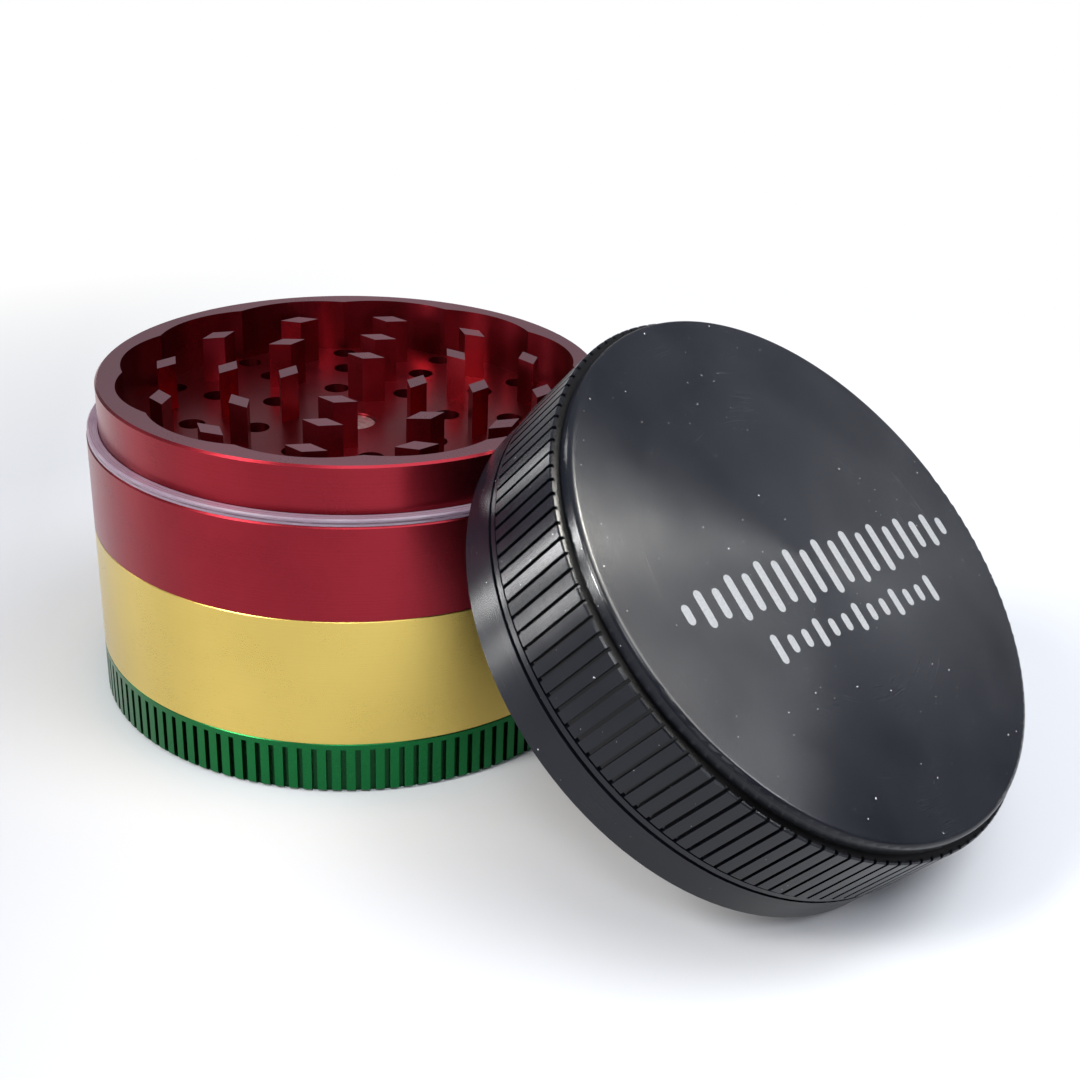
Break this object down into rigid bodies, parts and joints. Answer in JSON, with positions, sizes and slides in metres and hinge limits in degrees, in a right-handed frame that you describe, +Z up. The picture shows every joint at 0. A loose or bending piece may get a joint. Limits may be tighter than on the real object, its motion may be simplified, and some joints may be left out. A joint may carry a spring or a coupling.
{
  "type": "hand grinder",
  "caption": "Round stacked hand grinder: toothed drilled chamber, screened storage cup and slotted catcher that screw together, with a slotted cap leaning beside them.",
  "frame": {"origin": "centre of the catcher's flat underside", "axes": "+Z up along the stack's axis, +X towards the leaning lid"},
  "size_m": [0.117, 0.063, 0.0533],
  "materials": {
    "green_anodised": "satin anodised",
    "gold_anodised": "satin anodised",
    "red_anodised": "satin anodised",
    "black_anodised": "satin anodised",
    "clear_plastic": "translucent",
    "steel_mesh": "woven wire",
    "steel_ring": "satin",
    "magnet_plating": "nickel plated"
  },
  "bodies": {
    "catcher": {"kief_catcher": "green_anodised"},
    "screen_pack": {"screen_mesh": "steel_mesh", "screen_hoop": "steel_ring", "screen_snap_ring": "steel_ring"},
    "storage": {"storage_chamber": "gold_anodised"},
    "ring": {"slip_ring": "clear_plastic"},
    "chamber": {"grinding_chamber": "red_anodised", "chamber_magnet": "magnet_plating"},
    "lid_core": {"lid_magnet": "magnet_plating"},
    "lid": {"lid_shell": "black_anodised"}
  },
  "joints": [
    {"name": "storage_rise", "type": "slide", "parent": "catcher", "child": "screen_pack", "axis": [0, 0, 1], "range_m": [0, 0.003]},
    {"name": "storage_unscrew", "type": "hinge", "parent": "screen_pack", "child": "storage", "pos_m": [0, 0, 0.00645], "axis": [0, 0, 1], "range_deg": [0, 720]},
    {"name": "chamber_rise", "type": "slide", "parent": "storage", "child": "ring", "axis": [0, 0, 1], "range_m": [0, 0.003]},
    {"name": "chamber_unscrew", "type": "hinge", "parent": "ring", "child": "chamber", "pos_m": [0, 0, 0.02205], "axis": [0, 0, 1], "range_deg": [0, 720]},
    {"name": "lid_swing", "type": "hinge", "parent": "chamber", "child": "lid_core", "pos_m": [-0.05416, 0, -0.01837], "axis": [0, -1, 0], "range_deg": [0, 41]},
    {"name": "lid_spin", "type": "hinge", "parent": "lid_core", "child": "lid", "pos_m": [0.05125, 0, 0.02034], "axis": [0.6561, 0, 0.7547], "continuous": true}
  ],
  "couplings": [
    {"joint": "storage_rise", "follows": "storage_unscrew", "m_per_rad": 0.00023873},
    {"joint": "chamber_rise", "follows": "chamber_unscrew", "m_per_rad": 0.00023873}
  ]
}
